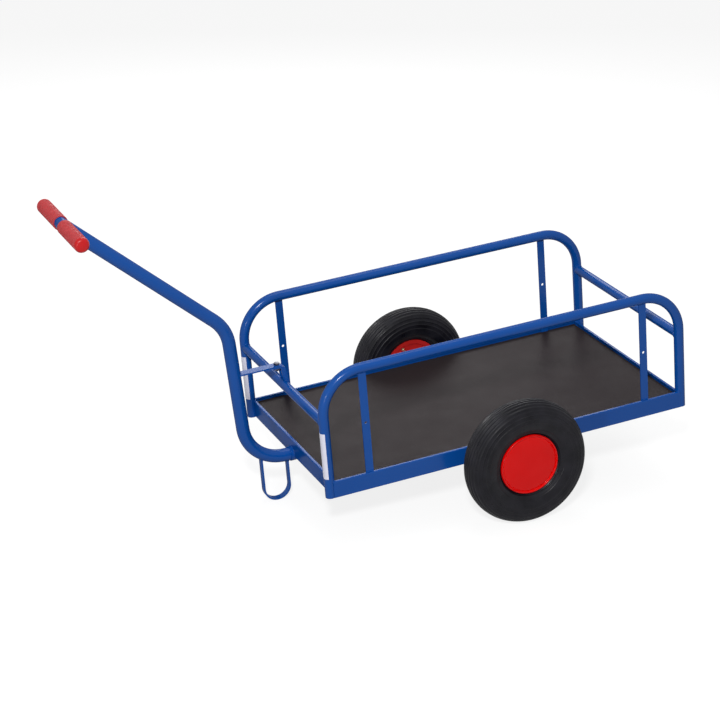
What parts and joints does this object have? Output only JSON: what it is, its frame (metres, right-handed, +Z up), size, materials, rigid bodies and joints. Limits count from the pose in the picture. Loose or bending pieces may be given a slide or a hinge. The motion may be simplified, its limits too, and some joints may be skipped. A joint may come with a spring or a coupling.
{
  "type": "two-wheeled hand cart",
  "caption": "Hand cart with a railed flat load bed on a cross axle with pneumatic wheels, a bent drawbar with a T handle and a loop foot to park on.",
  "frame": {"origin": "on the floor at the middle of the cart's overall length and width, parked on wheels and foot loop", "axes": "+X forward towards the drawbar handle, +Y to the cart's left, +Z up"},
  "size_m": [1.9538, 0.982, 1.0206],
  "materials": {
    "frame_paint": "satin blue powder coat",
    "panel_wood": "dark film-faced plywood, fine mesh print",
    "tyre_rubber": "matt black ribbed rubber",
    "wheel_red": "gloss red paint",
    "cover_red": "gloss red moulding",
    "hub_steel": "zinc plated",
    "bolt_steel": "dark passivated zinc",
    "grip_red": "soft red vinyl, finely ribbed"
  },
  "bodies": {
    "chassis": {"side_rail_left": "frame_paint", "side_rail_right": "frame_paint", "front_cross_rail": "frame_paint", "rear_cross_rail": "frame_paint", "left_member": "frame_paint", "right_member": "frame_paint", "front_member": "frame_paint", "rear_member": "frame_paint", "bearer_front_left": "frame_paint", "bearer_front_right": "frame_paint", "bearer_rear": "frame_paint", "axle_tube": "frame_paint", "socket_tube": "frame_paint", "drawbar": "frame_paint", "handle_tube": "frame_paint", "foot_loop": "frame_paint", "strut": "frame_paint", "strut_bracket": "frame_paint", "stay_left_front": "frame_paint", "stay_left_rear": "frame_paint", "stay_right_front": "frame_paint", "stay_right_rear": "frame_paint", "load_panel": "panel_wood", "axle_end_left": "hub_steel", "axle_end_right": "hub_steel", "axle_nut_left": "hub_steel", "axle_nut_right": "hub_steel", "strut_bolt": "bolt_steel", "grip_left": "grip_red", "grip_right": "grip_red"},
    "wheel_left": {"tyre_left": "tyre_rubber", "rim_left": "wheel_red", "hub_left": "hub_steel", "wheel_cover_left": "cover_red"},
    "wheel_right": {"tyre_right": "tyre_rubber", "rim_right": "wheel_red", "hub_right": "hub_steel", "wheel_cover_right": "cover_red"}
  },
  "joints": [
    {"name": "wheel_left_spin", "type": "hinge", "parent": "chassis", "child": "wheel_left", "pos_m": [-0.35275, 0.438, 0.2], "axis": [0, 1, 0], "continuous": true},
    {"name": "wheel_right_spin", "type": "hinge", "parent": "chassis", "child": "wheel_right", "pos_m": [-0.35275, -0.438, 0.2], "axis": [0, 1, 0], "continuous": true}
  ]
}
